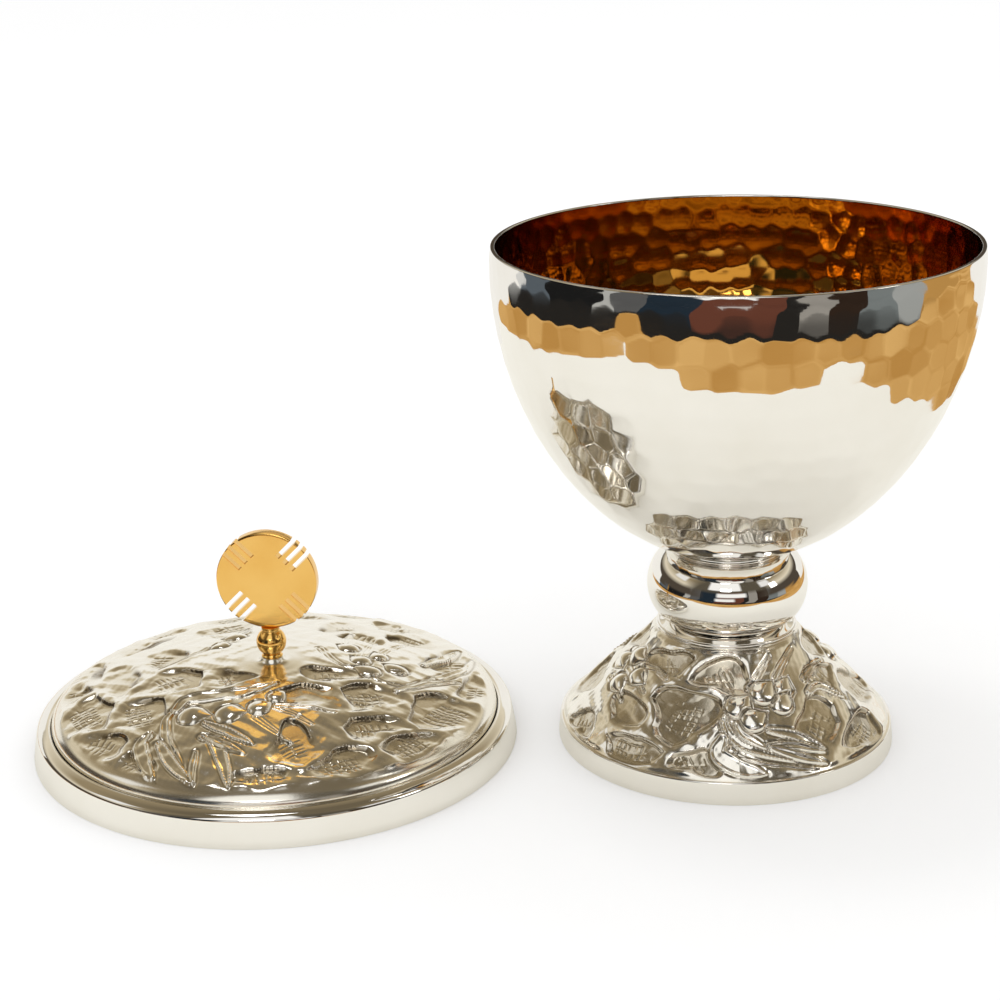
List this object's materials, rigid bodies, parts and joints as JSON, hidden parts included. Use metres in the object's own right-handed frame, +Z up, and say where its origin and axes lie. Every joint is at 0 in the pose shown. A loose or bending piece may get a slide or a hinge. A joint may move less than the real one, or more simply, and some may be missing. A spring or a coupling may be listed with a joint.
{
  "type": "ciborium",
  "caption": "Footed silver ciborium with a hammered gilt-lined bowl, knop stem and repousse foot, and a low domed lid with a slotted disc finial lying beside it.",
  "frame": {"origin": "middle of the pair at table level: centre of the bounding box, on the plane that the foot and the lid stand on", "axes": "+Z up; the cup's axis and the lid's axis both lie on Y = 0, the lid towards -X and the cup towards +X"},
  "size_m": [0.3068, 0.1622, 0.1656],
  "materials": {
    "mirror_silver": "mirror-polished silver plate, hand-hammered on the bowl",
    "satin_silver": "chased silver plate, satin ground with polished high spots",
    "polished_gold": "polished gold plate",
    "turned_brass": "plain turned brass"
  },
  "bodies": {
    "cup": {"foot_band": "mirror_silver", "foot_cone": "satin_silver", "foot_cap": "mirror_silver", "knop": "mirror_silver", "upper_collar": "mirror_silver", "bowl": "mirror_silver", "bowl_boss": "turned_brass", "tie_rod": "turned_brass", "foot_washer": "turned_brass", "foot_nut": "turned_brass"},
    "lid": {"lid_band": "mirror_silver", "lid_flange": "mirror_silver", "lid_dome": "satin_silver", "finial_ball": "polished_gold", "finial_disc": "polished_gold", "finial_stud": "turned_brass", "lid_washer": "turned_brass", "lid_nut": "turned_brass"}
  },
  "joints": [
    {"name": "lid_lift", "type": "slide", "parent": "cup", "child": "lid", "axis": [-0.1392, 0, 0.9903], "range_m": [0, 0.2]}
  ]
}
